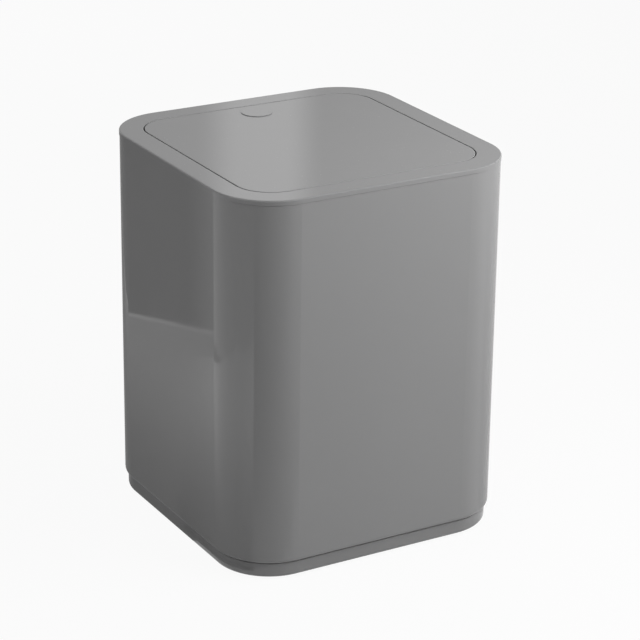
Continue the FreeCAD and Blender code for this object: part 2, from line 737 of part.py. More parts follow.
def add_pin_bosses(body):
    """Bosses inside the side wall, bored with it for the pivot pins."""
    for side in SIDES.values():
        block = new_sketch(body, "XY_Plane", "Places.cover_top",
                           f"{side}(Places.boss_end + Places.flap_inner_half) / 2")
        rectangle(block, "Sizes.boss_length", "Sizes.boss_width")
        pad(body, block, "Places.skin_low - Places.cover_top")
        doc.recompute()
    bore(body, "Sizes.pin_radius + Sizes.press_clearance", "Places.axis_height")


def make_flap_cover():
    """Plate inside the flap's side wall, under the posts and bosses, with countersunk holes."""
    body = new_body("flap_cover")
    plate = new_sketch(body, "XY_Plane", "Places.flap_low")
    rounded_square(plate, "Places.cover_half", "Places.cover_radius")
    pad(body, plate, "Sizes.cover_thick")
    doc.recompute()
    before = body.Shape.Volume
    half_section = new_sketch(body, "XZ_Plane", "-Places.post_reach", "Places.post_reach")
    polygon(half_section, [
        ("0", "Places.flap_low"),
        ("Sizes.cover_head_radius + Sizes.cover_hole_clearance", "Places.flap_low"),
        ("Sizes.cover_screw_radius + Sizes.cover_hole_clearance", "Places.cover_head_top"),
        ("Sizes.cover_screw_radius + Sizes.cover_hole_clearance", "Places.cover_top"),
        ("0", "Places.cover_top"),
    ])
    revolve(body, half_section, "V_Axis", "Groove")
    quarter_turns(body, [require_cut(body, before)])
    return body


def make_flap_screws():
    """Four countersunk screws, heads flush with the cover."""
    body = new_body("flap_screws")
    body.AllowCompound = True
    half_section = new_sketch(body, "XZ_Plane", "-Places.post_reach", "Places.post_reach")
    polygon(half_section, [
        ("0", "Places.flap_low"),
        ("Sizes.cover_head_radius", "Places.flap_low"),
        ("Sizes.cover_screw_radius", "Places.cover_head_top"),
        ("Sizes.cover_screw_radius", "Places.cover_screw_tip - Sizes.cover_screw_radius"),
        ("0", "Places.cover_screw_tip"),
    ])
    screw = revolve(body, half_section, "V_Axis")
    doc.recompute()
    slots = driver_slots(body, "Places.flap_low", "Places.post_reach", "Places.post_reach")
    quarter_turns(body, [screw, *slots])
    return body


def make_counterweight():
    """Steel bar between the skin and the cover, in the flap's front half."""
    body = new_body("counterweight")
    bar = new_sketch(body, "XY_Plane", "Places.cover_top", up="-Places.weight_front")
    rectangle(bar, "Places.weight_length", "Sizes.weight_width")
    block = pad(body, bar, "Places.weight_top - Places.cover_top")
    doc.recompute()
    upright = [f"Edge{index}" for index, edge in enumerate(block.Shape.Edges, start=1)
               if edge.BoundBox.ZLength > SAME_PLACE]
    chamfer = body.newObject("PartDesign::Chamfer", "counterweight_chamfer")
    chamfer.Base = (block, upright)
    chamfer.setExpression("Size", "Sizes.weight_chamfer")
    return body


def make_inner_bucket():
    """Tapered bucket with a flat rim and two ears for its handle."""
    body = new_body("inner_bucket")
    outside = new_sketch(body, "XY_Plane", "Places.bucket_low")
    rounded_square(outside, "Places.bucket_foot_half", "Places.bucket_foot_radius")
    wall = pad(body, outside, "Places.bucket_top - Places.bucket_low")
    wall.setExpression("TaperAngle", "Places.bucket_taper")
    soften(body, "Places.bucket_low", "Places.bucket_foot_half", "Sizes.bucket_edge_radius")
    rim = new_sketch(body, "XY_Plane", "Places.bucket_rim_low")
    rounded_square(rim, "Places.bucket_rim_half", "Places.bucket_rim_radius")
    pad(body, rim, "Sizes.bucket_rim_thick")
    doc.recompute()
    inside = new_sketch(body, "XY_Plane", "Places.bucket_floor_top")
    rounded_square(inside, "Places.bucket_inner_foot_half", "Places.bucket_inner_foot_radius")
    hollow = pocket(body, inside, "Places.bucket_top - Places.bucket_floor_top")
    hollow.setExpression("TaperAngle", "Places.bucket_taper")
    soften(body, "Places.bucket_floor_top", "Places.bucket_inner_foot_half", "Sizes.bucket_inside_radius")
    add_bucket_ears(body)
    return body


def add_bucket_ears(body):
    """Upright ears on the rim, each drilled for one end of the wire."""
    rise = "Places.bail_height - Places.bucket_top"
    middle = "(Places.bucket_inner_half + Places.bucket_half) / 2"
    for side in SIDES.values():
        post = new_sketch(body, "XY_Plane", "Places.bucket_top", f"{side}{middle}")
        rectangle(post, "Sizes.bucket_wall", "2 * Sizes.ear_radius")
        pad(body, post, rise)
        crown = new_sketch(body, "YZ_Plane", f"{side}{middle} - Sizes.bucket_wall / 2",
                           up="Places.bail_height")
        pad(body, circle(crown, "Sizes.ear_radius"), "Sizes.bucket_wall")
        doc.recompute()
    bore(body, "Sizes.wire_radius + Sizes.running_clearance", "Places.bail_height")


def make_bail_handle():
    """Wire handle, lying along the front half of the rim with its ends turned in through the ears."""
    body = new_body("bail_handle")
    arm = value("Places.bail_arm")
    bend = value("Sizes.wire_bend")
    corner = value("Places.bail_radius")
    stub = value("Places.bail_stub_end")
    flat = arm - corner
    path = new_sketch(body, "XY_Plane", "Places.bail_height")
    route = [
        line((-stub, 0), (bend - arm, 0)),
        arc((bend - arm, -bend), bend, 1),
        line((-arm, -bend), (-arm, -flat)),
        arc((-flat, -flat), corner, 2),
        line((-flat, -arm), (flat, -arm)),
        arc((flat, -flat), corner, 3),
        line((arm, -flat), (arm, -bend)),
        arc((arm - bend, -bend), bend, 0),
        line((arm - bend, 0), (stub, 0)),
    ]
    for item in route:
        path.addGeometry(item)
    join(path, "Tangent", [(piece, piece + 1) for piece in range(len(route) - 1)])
    for piece, point in ((0, START), (8, END)):
        path.addConstraint(Sketcher.Constraint("PointOnObject", piece, point, AXIS_X))
    for piece in (0, 4, 8):
        path.addConstraint(Sketcher.Constraint("Horizontal", piece))
    for piece in (2, 6):
        path.addConstraint(Sketcher.Constraint("Vertical", piece))
    for piece in (2, 4, 6):
        bind(path, "Places.bail_arm", "Distance", AXIS_X, START, piece)
    for expression, first, second in (("Sizes.wire_bend", 1, 7), ("Places.bail_radius", 3, 5)):
        bind(path, expression, "Radius", first)
        path.addConstraint(Sketcher.Constraint("Equal", first, second))
    bind(path, "Places.bail_stub_end", "DistanceX", 0, START, AXIS_X, START)
    bind(path, "Places.bail_stub_end", "DistanceX", AXIS_X, START, 8, END)
    section = new_sketch(body, "YZ_Plane", "-Places.bail_stub_end", up="Places.bail_height")
    wire = body.newObject("PartDesign::AdditivePipe", "bail_handle_wire")
    wire.Profile = circle(section, "Sizes.wire_radius")
    wire.Spine = path
    return body


def failed_objects():
    """List the objects of the document that didn't come out."""
    bad = [item.Label for item in doc.Objects if {"Invalid", "Error"} & set(item.State)]
    for body in bodies:
        if body.Shape.isNull() or not body.Shape.isValid() or not body.Shape.Solids:
            bad.append(body.Label)
    return bad


doc = FreeCAD.newDocument("swing_lid_bin")
fill_sheet("Sizes", {alias: str(size) for alias, size in SIZES.items()})
places = fill_sheet("Places", {alias: f"={formula}" for alias, formula in PLACES.items()})
doc.recompute()

bodies = [
    make_outer_shell(),
    make_base_plinth(),
    make_base_screws(),
    make_lid_frame(),
    make_flap_panel(),
    make_flap_cover(),
    make_flap_screws(),
    make_counterweight(),
    make_inner_bucket(),
    make_bail_handle(),
]
for side_name, side_sign in SIDES.items():
    bodies.append(make_foot("front", "-", side_name, side_sign))
    bodies.append(make_foot("back", "+", side_name, side_sign))
    bodies.append(make_pivot_bush(side_name, side_sign))
    bodies.append(make_pivot_pin(side_name, side_sign))
    bodies.append(make_rest_pad(side_name, side_sign))
doc.recompute()

failed = failed_objects()
if failed:
    raise RuntimeError("not built: " + ", ".join(failed))
os.makedirs("parts", exist_ok=True)
for body in bodies:
    body.Shape.exportStep(f"parts/{body.Label}.step")
    print(body.Label, len(body.Shape.Solids), round(body.Shape.Volume, 1))
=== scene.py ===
"""Looks of the swing-lid bathroom bin: finishes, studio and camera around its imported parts.

Metres, +Z up, in the parts' own frame: the origin is on the floor under the middle of the bin,
the front faces -Y and the press disc is near the back edge of the flap.
"""
import json
import math

import bpy
from mathutils import Matrix, Vector

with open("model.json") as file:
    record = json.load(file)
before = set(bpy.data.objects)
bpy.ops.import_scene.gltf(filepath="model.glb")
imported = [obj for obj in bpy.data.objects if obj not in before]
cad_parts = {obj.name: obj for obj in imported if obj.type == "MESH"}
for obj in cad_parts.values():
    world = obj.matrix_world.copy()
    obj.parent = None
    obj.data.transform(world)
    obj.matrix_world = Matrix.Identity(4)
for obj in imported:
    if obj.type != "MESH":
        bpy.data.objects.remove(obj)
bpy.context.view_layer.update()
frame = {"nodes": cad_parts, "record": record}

# Camera of the main picture: where it stands, the way its right and up sides point, and its lens
CAMERA_PLACE = (-0.72381, -1.26383, 0.69645)
CAMERA_RIGHT = (0.867063, -0.498053, 0.012037)
CAMERA_UP = (0.172860, 0.323417, 0.930334)
CAMERA_LENS_MM = 141.286
CAMERA_SENSOR_MM = 36.0

# Colours, as linear red, green and blue
BODY_GREY = (0.235, 0.235, 0.236)
BODY_PALE = (0.300, 0.300, 0.302)
# The plinth's grey is the body's grey made darker: painted shade for the band near the floor, not a
# different plastic
PLINTH_SHADED_GREY = (0.206, 0.206, 0.207)
BUCKET_GREY = (0.045, 0.046, 0.048)
BUCKET_SCUFF = (0.110, 0.111, 0.114)
BUSH_WHITE = (0.72, 0.71, 0.66)
BUSH_SHADE = (0.62, 0.60, 0.53)
RUBBER_BLACK = (0.022, 0.022, 0.022)
RUBBER_DUST = (0.110, 0.105, 0.098)
ZINC_BLUE = (0.56, 0.59, 0.63)
ZINC_STRAW = (0.63, 0.61, 0.55)
STEEL_BRIGHT = (0.63, 0.62, 0.60)
STEEL_SHADE = (0.46, 0.455, 0.45)
ROLLED_GREY = (0.31, 0.31, 0.315)
ROLLED_DARK = (0.16, 0.155, 0.15)
DUST_PALE = (0.42, 0.41, 0.39)

# White light, with its opacity
WHITE = (1.0, 1.0, 1.0, 1.0)

# How strongly each plastic and the rubber bend light
PLASTIC_IOR = 1.49
BUSH_IOR = 1.48
RUBBER_IOR = 1.52

# Grain of steel, in cells for each metre along X, Y and Z: few along its lines, many across them
PIN_CELLS = (40.0, 2500.0, 2500.0)
WEIGHT_CELLS = (25.0, 900.0, 900.0)
WIRE_CELLS = (30.0, 30.0, 4000.0)
STEEL_LINE_DEPTH = 0.000004

# Noise that breaks up scratches, rubbed edges and the film of dust, in cells for each metre
SCRATCH_CELLS = 40.0
RUB_CELLS = 220.0
FILM_CELLS = 60.0

# Places of the share, the two colours and the result among the sockets of a Mix node
MIX_SHARE, MIX_FIRST, MIX_SECOND, MIX_RESULT = 0, 6, 7, 2

# Middle of the press disc's face, and how far from it the finger marks are full and have faded
PRESS_DISC = (0.0, 0.065, 0.2404)
TOUCH_NEAR = 0.012
TOUCH_FAR = 0.045

# Light of the room on the bin, where 1 is white
ROOM_LEVEL = 0.24

# Floor: half its side, its paint, and the share of white over the paint where it is seen directly.
# It lies a little under the feet, so that their undersides show from below.
FLOOR_HALF = 30.0
FLOOR_PAINT = 0.56
FLOOR_WHITE = 0.94
FLOOR_DROP = 0.0002

# Lamps: place, width, height, power in watts, spread in degrees, and whether the bin's gloss shows
# them. A weaker panel shows in the key's place. All aim a little above the bin's middle.
SOFTBOXES = {
    "key_softbox": ((0.30, -0.38, 0.47), 0.45, 0.30, 3.45, 180.0, False),
    "left_softbox": ((-1.47, 0.0, 1.0), 0.90, 0.90, 4.8, 180.0, True),
    "back_softbox": ((0.35, 1.60, 0.30), 0.80, 0.40, 1.61, 100.0, False),
}
SOFTBOX_AIM = (0.0, 0.0, 0.15)

# Cards on the floor that only the bin's gloss sees, each laid over the one before. Each has its
# outline in plan, then the two points between which its glow eases from a first level to a second.
FLOOR_CARDS = {
    "dark_room": (((0.455, 1.443), (-0.923, -0.761), (-2.619, 0.299), (-1.241, 2.503)),
                  (-0.350, 0.200), (-1.200, 0.730), (0.28, 0.25)),
    "bin_shade": (((0.459, 1.435), (0.750, 1.200), (-0.060, 0.060), (-0.080, -0.020),
                   (-0.546, -0.173)),
                  (-0.100, 0.000), (-0.215, 0.000), (0.29, 0.64)),
    "pale_table": (((-0.2525, 0.300), (-0.666, 1.111), (-1.500, 0.400), (-1.354, -0.354),
                    (-0.400, -0.151), (-0.365, 0.120)),
                   (-0.0754, -0.0475), (-0.1306, -0.0757), (0.25, 1.02)),
    "table_end": (((-0.083, -0.084), (-1.354, -0.354), (-1.179, -0.782)),
                  (-0.768, -0.230), (-0.673, -0.460), (1.02, 0.84)),
    "pale_paper": (((-0.0754, -0.0475), (-0.222, 0.245), (-0.375, 0.105), (-0.445, -0.060),
                    (-0.395, -0.283), (-0.083, -0.084)),
                   (-0.0754, -0.0475), (-0.1306, -0.0757), (1.00, 1.95)),
    "dark_stand": (((-0.083, -0.084), (-1.011, -0.675), (-0.633, -1.037), (-0.083, -1.184),
                    (0.467, -1.037)),
                   (-0.187, -0.470), (0.117, -0.430), (0.62, 0.72)),
    "right_floor": (((0.080, -0.090), (1.530, -0.480), (1.380, 0.660), (0.780, 1.230),
                     (0.100, 0.050)),
                    (0.000, 0.000), (1.000, 0.400), (0.66, 0.76)),
}

# Each floor card lies this far over the one before it
CARD_STEP = 0.001

# The paper's glow is also cut to a share that eases with the distance from the bin's front left corner,
# measured from the middle of its rounding. This dimming is painted shade: the bin's shade on the floor,
# as the gloss shows it, darkest near the corner.
PAPER_CORNER = (-0.0575, -0.0575)
PAPER_NEAR = 0.05
PAPER_FAR = 0.30
PAPER_SHADE_SHARES = (0.20, 0.66)

# Glow of the panel in the key's place, from its left edge to its right
KEY_PANEL_LEVELS = (1.3, 1.7)

# Upright backdrop that only the bin's gloss sees: its middle in plan, the way it runs to the right,
# and its lower and upper edges. Each half has its two ends and the two places between which its glow
# eases, as distances from the middle, then the two levels.
BACKDROP_MIDDLE = (0.6495, 1.2997)
BACKDROP_WAY = (0.8648, -0.5022)
BACKDROP_HEIGHTS = (0.15, 1.60)
BACKDROP_HALVES = {
    "backdrop_left": (-0.809, 0.0, -0.0543, 0.0, (0.77, 1.18)),
    "backdrop_right": (0.0, 0.991, 0.0546, 0.1030, (1.18, 0.72)),
}


def add_node(tree, kind, inputs=None, **settings):
    """Place a node with its settings, and give each named input a value or a link."""
    made = tree.nodes.new(kind)
    for name, setting in settings.items():
        setattr(made, name, setting)
    for name, given in (inputs or {}).items():
        if isinstance(given, bpy.types.NodeSocket):
            tree.links.new(given, made.inputs[name])
        else:
            made.inputs[name].default_value = given
    return made


def calculate(tree, operation, first, second=0.0):
    """A sum, product or other operation on two values, as one socket."""
    return add_node(tree, "ShaderNodeMath", {0: first, 1: second}, operation=operation).outputs[0]


def ramp(tree, value, low, high, start=0.0, end=1.0):
    """Turn a value from low to high into one from start to end, easing at both ends."""
    inputs = {"Value": value, "From Min": low, "From Max": high, "To Min": start, "To Max": end}
    return add_node(tree, "ShaderNodeMapRange", inputs, interpolation_type="SMOOTHSTEP").outputs["Result"]


def mix_colours(tree, share, first, second):
    """Two colours, or sockets of colour, mixed by a share from 0 to 1."""
    made = tree.nodes.new("ShaderNodeMix")
    made.data_type = "RGBA"
    for place, given in ((MIX_SHARE, share), (MIX_FIRST, first), (MIX_SECOND, second)):
        socket = made.inputs[place]
        if isinstance(given, bpy.types.NodeSocket):
            tree.links.new(given, socket)
        else:
            socket.default_value = given if isinstance(given, float) else (*given, 1.0)
    return made.outputs[MIX_RESULT]


def noise(tree, place, scale, detail=2.0, roughness=0.5):
    """Soft noise from 0 to 1 at a number of cells for each metre."""
    inputs = {"Vector": place, "Scale": scale, "Detail": detail, "Roughness": roughness}
    return add_node(tree, "ShaderNodeTexNoise", inputs).outputs["Fac"]


def own_place(tree):
    """A point's place in the piece's own frame, so that a finish moves with its piece."""
    return add_node(tree, "ShaderNodeTexCoord").outputs["Object"]


def new_group(name, inputs, outputs):
    """Start a node group with named inputs, each with its usual value, and named outputs."""
    tree = bpy.data.node_groups.new(name, "ShaderNodeTree")
    for label, usual in inputs.items():
        kind = "NodeSocketFloat" if isinstance(usual, float) else "NodeSocketVector"
        tree.interface.new_socket(label, in_out="INPUT", socket_type=kind).default_value = usual
    for label in outputs:
        tree.interface.new_socket(label, in_out="OUTPUT", socket_type="NodeSocketFloat")
    given = tree.nodes.new("NodeGroupInput").outputs
    result = tree.nodes.new("NodeGroupOutput").inputs
    return tree, given, result


def make_moulded_skin():
    """Surface that a mould leaves: long ripples from shrinkage, fine orange peel, faint mottling."""
    usual = {"Ripple Size": 0.03, "Ripple Height": 0.00001, "Peel Size": 0.002, "Peel Height": 0.0000004}
    tree, given, result = new_group("moulded skin", usual, ("Height", "Mottle"))
    place = own_place(tree)
    heights = []
    for name, detail in (("Ripple", 1.0), ("Peel", 2.0)):
        cells = calculate(tree, "DIVIDE", 1.0, given[f"{name} Size"])
        centred = calculate(tree, "SUBTRACT", noise(tree, place, cells, detail), 0.5)
        heights.append(calculate(tree, "MULTIPLY", centred, given[f"{name} Height"]))
    tree.links.new(calculate(tree, "ADD", *heights), result["Height"])
    cells = calculate(tree, "DIVIDE", 0.4, given["Ripple Size"])
    tree.links.new(ramp(tree, noise(tree, place, cells, 4.0), 0.35, 0.65), result["Mottle"])
    return tree


def make_handling_marks():
    """Smudges and hairline scratches that handling leaves."""
    usual = {"Smudge Size": 0.02, "Scratch Spacing": 0.012}
    tree, given, result = new_group("handling marks", usual, ("Smudge", "Scratch"))
    place = own_place(tree)
    cells = calculate(tree, "DIVIDE", 1.0, given["Smudge Size"])
    tree.links.new(ramp(tree, noise(tree, place, cells, 5.0, 0.6), 0.50, 0.72), result["Smudge"])
    lines = []
    for turn, stretch in (((0.3, 0.5, 0.2), (1.0, 0.06, 1.0)), ((1.1, 0.2, 0.9), (0.08, 1.0, 1.0))):
        turned = add_node(tree, "ShaderNodeMapping", {"Vector": place, "Rotation": turn, "Scale": stretch})
        cells = calculate(tree, "DIVIDE", 1.0, given["Scratch Spacing"])
        field = noise(tree, turned.outputs[0], cells, 0.0)
        off_line = calculate(tree, "ABSOLUTE", calculate(tree, "SUBTRACT", field, 0.5))
        broken = ramp(tree, noise(tree, place, SCRATCH_CELLS), 0.52, 0.66)
        lines.append(calculate(tree, "MULTIPLY", ramp(tree, off_line, 0.0, 0.006, 1.0, 0.0), broken))
    tree.links.new(calculate(tree, "MAXIMUM", *lines), result["Scratch"])
    return tree


def make_rubbed_edges():
    """Share by which an edge is rubbed, from how far the surface turns within a width."""
    tree, given, result = new_group("rubbed edges", {"Width": 0.0006}, ("Rub",))
    softened = add_node(tree, "ShaderNodeBevel", {"Radius": given["Width"]}, samples=4).outputs[0]
    surface = add_node(tree, "ShaderNodeNewGeometry").outputs["Normal"]
    agree = add_node(tree, "ShaderNodeVectorMath", {0: softened, 1: surface}, operation="DOT_PRODUCT")
    turned = ramp(tree, agree.outputs["Value"], 0.80, 0.985, 1.0, 0.0)
    patchy = ramp(tree, noise(tree, own_place(tree), RUB_CELLS, 3.0), 0.30, 0.65, 0.25, 1.0)
    tree.links.new(calculate(tree, "MULTIPLY", turned, patchy), result["Rub"])
    return tree


def make_settled_dust():
    """Fine specks and a thin film of dust on the faces that look up."""
    tree, given, result = new_group("settled dust", {"Speck Size": 0.0012, "Film": 0.15}, ("Dust",))
    place = own_place(tree)
    facing = add_node(tree, "ShaderNodeTexCoord").outputs["Normal"]
    upward = ramp(tree, add_node(tree, "ShaderNodeSeparateXYZ", {0: facing}).outputs["Z"], 0.6, 0.95)
    cells = calculate(tree, "DIVIDE", 1.0, given["Speck Size"])
    speck = add_node(tree, "ShaderNodeTexVoronoi", {"Vector": place, "Scale": cells, "Randomness": 1.0})
    near = ramp(tree, speck.outputs["Distance"], 0.05, 0.16, 1.0, 0.0)
    chosen = ramp(tree, add_node(tree, "ShaderNodeSeparateColor", {0: speck.outputs["Color"]}).outputs[0],
                  0.82, 0.90)
    specks = calculate(tree, "MULTIPLY", near, chosen)
    patchy = ramp(tree, noise(tree, place, FILM_CELLS, 4.0), 0.4, 0.7)
    film = calculate(tree, "MULTIPLY", patchy, given["Film"])
    tree.links.new(calculate(tree, "MULTIPLY", calculate(tree, "MAXIMUM", specks, film), upward),
                   result["Dust"])
    return tree


def make_drawn_grain():
    """Fine lines that drawing, rolling or turning leaves in metal, long where Cells is small."""
    tree, given, result = new_group("drawn grain", {"Cells": PIN_CELLS}, ("Grain", "Height"))
    spread = add_node(tree, "ShaderNodeVectorMath", {0: own_place(tree), 1: given["Cells"]},
                      operation="MULTIPLY").outputs[0]
    lines = noise(tree, spread, 1.0, 3.0, 0.6)
    tree.links.new(ramp(tree, lines, 0.25, 0.75), result["Grain"])
    tree.links.new(calculate(tree, "MULTIPLY", lines, STEEL_LINE_DEPTH), result["Height"])
    return tree


def make_pitted_grain():
    """Close, even grain of an eroded mould or of rubber."""
    usual = {"Grain Size": 0.0004, "Depth": 0.000008}
    tree, given, result = new_group("pitted grain", usual, ("Height", "Grain"))
    place = own_place(tree)
    cells = calculate(tree, "DIVIDE", 1.0, given["Grain Size"])
    pits = add_node(tree, "ShaderNodeTexVoronoi", {"Vector": place, "Scale": cells}, feature="SMOOTH_F1")
    rough = noise(tree, place, calculate(tree, "MULTIPLY", cells, 0.5), 3.0)
    both = calculate(tree, "MULTIPLY", calculate(tree, "ADD", pits.outputs["Distance"], rough), 0.5)
    tree.links.new(calculate(tree, "MULTIPLY", both, given["Depth"]), result["Height"])
    tree.links.new(ramp(tree, both, 0.3, 0.6), result["Grain"])
    return tree


MOULDED_SKIN = make_moulded_skin()
HANDLING_MARKS = make_handling_marks()
RUBBED_EDGES = make_rubbed_edges()
SETTLED_DUST = make_settled_dust()
DRAWN_GRAIN = make_drawn_grain()
PITTED_GRAIN = make_pitted_grain()


def place_group(tree, group, **values):
    """Place a shared effect with this finish's own values, and give its outputs."""
    made = add_node(tree, "ShaderNodeGroup", node_tree=group)
    for name, given in values.items():
        made.inputs[name.replace("_", " ")].default_value = given
    return made.outputs


def start_finish(name, **constants):
    """Start a material, with the values that are the same all over set on its shader."""
    finish = bpy.data.materials.new(name)
    finish.use_nodes = True
    tree = finish.node_tree
    shader = tree.nodes["Principled BSDF"]
    for label, given in constants.items():
        shader.inputs[label.replace("_", " ")].default_value = given
    return finish, tree, shader.inputs


def raise_surface(tree, shader, height):
    """Tilt the shading by a height in metres."""
    bump = add_node(tree, "ShaderNodeBump", {"Height": height, "Strength": 1.0, "Distance": 1.0})
    tree.links.new(bump.outputs["Normal"], shader["Normal"])


def add_up(tree, base, *shares):
    """A base value plus each varying value times its weight."""
    total = base
    for value, weight in shares:
        total = calculate(tree, "ADD", calculate(tree, "MULTIPLY", value, weight), total)
    return total


def make_body_plastic(name, grey):
    """Gloss grey moulding: faint ripples in its reflections, finger marks at the disc, rubbed edges."""
    finish, tree, shader = start_finish(name, IOR=PLASTIC_IOR)
    skin = place_group(tree, MOULDED_SKIN, Ripple_Size=0.045, Ripple_Height=0.000016,
                       Peel_Size=0.0016, Peel_Height=0.0000003)
    marks = place_group(tree, HANDLING_MARKS, Smudge_Size=0.016, Scratch_Spacing=0.014)
    rub = place_group(tree, RUBBED_EDGES, Width=0.0005)["Rub"]
    dust = place_group(tree, SETTLED_DUST, Speck_Size=0.0022, Film=0.04)["Dust"]
    off_disc = add_node(tree, "ShaderNodeVectorMath", {0: own_place(tree), 1: PRESS_DISC},
                        operation="DISTANCE").outputs["Value"]
    near_disc = ramp(tree, off_disc, TOUCH_NEAR, TOUCH_FAR, 1.0, 0.15)
    touched = calculate(tree, "MULTIPLY", near_disc, marks["Smudge"])
    mottled = mix_colours(tree, calculate(tree, "MULTIPLY", skin["Mottle"], 0.06), grey, BODY_PALE)
    worn = mix_colours(tree, calculate(tree, "MULTIPLY", rub, 0.35), mottled, BODY_PALE)
    dusted = mix_colours(tree, calculate(tree, "MULTIPLY", dust, 0.30), worn, DUST_PALE)
    tree.links.new(dusted, shader["Base Color"])
    roughness = add_up(tree, 0.045, (touched, 0.07), (marks["Scratch"], 0.05), (rub, 0.12), (dust, 0.25),
                       (skin["Mottle"], 0.012))
    tree.links.new(roughness, shader["Roughness"])
    raise_surface(tree, shader, skin["Height"])
    return finish


def make_bucket_plastic():
    """Dark satin moulding with a fine grain, scuffed where waste and hands rub it."""
    finish, tree, shader = start_finish("bucket_plastic", IOR=PLASTIC_IOR)
    grain = place_group(tree, PITTED_GRAIN, Grain_Size=0.0005, Depth=0.000010)
    marks = place_group(tree, HANDLING_MARKS, Smudge_Size=0.030, Scratch_Spacing=0.010)
    rub = place_group(tree, RUBBED_EDGES, Width=0.0008)["Rub"]
    scuffed = mix_colours(tree, add_up(tree, 0.0, (marks["Scratch"], 0.35), (rub, 0.30)),
                          BUCKET_GREY, BUCKET_SCUFF)
    tree.links.new(scuffed, shader["Base Color"])
    roughness = add_up(tree, 0.36, (grain["Grain"], 0.06), (marks["Smudge"], -0.07), (rub, -0.10))
    tree.links.new(roughness, shader["Roughness"])
    raise_surface(tree, shader, grain["Height"])
    return finish


def make_bush_plastic():
    """Natural white bearing plastic, a little yellowed, polished where it is rubbed."""
    finish, tree, shader = start_finish("bush_plastic", IOR=BUSH_IOR)
    skin = place_group(tree, MOULDED_SKIN, Ripple_Size=0.004, Ripple_Height=0.000004,
                       Peel_Size=0.0006, Peel_Height=0.000001)
    rub = place_group(tree, RUBBED_EDGES, Width=0.0003)["Rub"]
    tree.links.new(mix_colours(tree, skin["Mottle"], BUSH_WHITE, BUSH_SHADE), shader["Base Color"])
    tree.links.new(add_up(tree, 0.34, (skin["Mottle"], 0.08), (rub, -0.12)), shader["Roughness"])
    raise_surface(tree, shader, skin["Height"])
    return finish


def make_foot_rubber():
    """Matt black rubber with a close grain, greyed by dust."""
    finish, tree, shader = start_finish("foot_rubber", IOR=RUBBER_IOR)
    grain = place_group(tree, PITTED_GRAIN, Grain_Size=0.00035, Depth=0.000020)
    marks = place_group(tree, HANDLING_MARKS, Smudge_Size=0.006, Scratch_Spacing=0.006)
    dusty = mix_colours(tree, calculate(tree, "MULTIPLY", marks["Smudge"], 0.35), RUBBER_BLACK, RUBBER_DUST)
    tree.links.new(dusty, shader["Base Color"])
    tree.links.new(add_up(tree, 0.66, (grain["Grain"], 0.12), (marks["Smudge"], 0.10)), shader["Roughness"])
    raise_surface(tree, shader, grain["Height"])
    return finish


def make_zinc_plate():
    """Zinc plating that shades from blue to straw, worn bright at the edges."""
    finish, tree, shader = start_finish("zinc_screw", Metallic=1.0)
    skin = place_group(tree, MOULDED_SKIN, Ripple_Size=0.0025, Ripple_Height=0.000003,
                       Peel_Size=0.0003, Peel_Height=0.0000008)
    rub = place_group(tree, RUBBED_EDGES, Width=0.0002)["Rub"]
    plated = mix_colours(tree, skin["Mottle"], ZINC_BLUE, ZINC_STRAW)
    tree.links.new(mix_colours(tree, calculate(tree, "MULTIPLY", rub, 0.5), plated, STEEL_BRIGHT),
                   shader["Base Color"])
    tree.links.new(add_up(tree, 0.30, (skin["Mottle"], 0.10), (rub, -0.10)), shader["Roughness"])
    raise_surface(tree, shader, skin["Height"])
    return finish


def make_steel(name, cells, bright, shade, roughness):
    """Plain steel whose lines run where it was drawn, rolled or turned."""
    finish, tree, shader = start_finish(name, Metallic=1.0)
    grain = place_group(tree, DRAWN_GRAIN, Cells=cells)
    skin = place_group(tree, MOULDED_SKIN, Ripple_Size=0.006, Ripple_Height=0.000001,
                       Peel_Size=0.0008, Peel_Height=0.0000004)
    rub = place_group(tree, RUBBED_EDGES, Width=0.0003)["Rub"]
    lined = mix_colours(tree, calculate(tree, "MULTIPLY", grain["Grain"], 0.7), bright, shade)
    tarnished = mix_colours(tree, calculate(tree, "MULTIPLY", skin["Mottle"], 0.35), lined, shade)
    tree.links.new(mix_colours(tree, calculate(tree, "MULTIPLY", rub, 0.4), tarnished, STEEL_BRIGHT),
                   shader["Base Color"])
    varied = add_up(tree, roughness, (grain["Grain"], 0.14), (skin["Mottle"], 0.08))
    tree.links.new(varied, shader["Roughness"])
    raise_surface(tree, shader, grain["Height"])
    return finish


def dress_nodes():
    """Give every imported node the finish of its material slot, or its own where it differs."""
    finishes = {
        "body_plastic": make_body_plastic("body_plastic", BODY_GREY),
        "bucket_plastic": make_bucket_plastic(),
        "bush_plastic": make_bush_plastic(),
        "foot_rubber": make_foot_rubber(),
        "zinc_screw": make_zinc_plate(),
        "pin_steel": make_steel("pin_steel", PIN_CELLS, STEEL_BRIGHT, STEEL_SHADE, roughness=0.20),
        "weight_steel": make_steel("weight_steel", WEIGHT_CELLS, ROLLED_GREY, ROLLED_DARK, roughness=0.42),
    }
    own_finishes = {
        # The plinth gets the body plastic in a darker grey, which is painted shade
        "base_plinth": make_body_plastic("plinth_plastic_painted_shade", PLINTH_SHADED_GREY),
        "bail_handle": make_steel("wire_steel", WIRE_CELLS, STEEL_BRIGHT, STEEL_SHADE, roughness=0.18),
    }
    for piece in frame["record"]["subparts"]:
        name = piece["node"]
        finish = own_finishes.get(name, finishes[piece["material_slot"]])
        frame["nodes"][name].material_slots[0].material = finish


def seen_directly(tree):
    """1 for what the camera, a reflection or a view through glass shows, otherwise 0."""
    path = add_node(tree, "ShaderNodeLightPath").outputs
    mirrored = calculate(tree, "MAXIMUM", path["Is Glossy Ray"], path["Is Transmission Ray"])
    return calculate(tree, "MAXIMUM", path["Is Camera Ray"], mirrored)


def make_world(level):
    """White surroundings that light the bin at a level of their own."""
    world = bpy.data.worlds.new("white_room")
    bpy.context.scene.world = world
    world.use_nodes = True
    tree = world.node_tree
    strength = add_up(tree, level, (seen_directly(tree), 1.0 - level))
    tree.links.new(strength, tree.nodes["Background"].inputs["Strength"])
    tree.nodes["Background"].inputs["Color"].default_value = WHITE


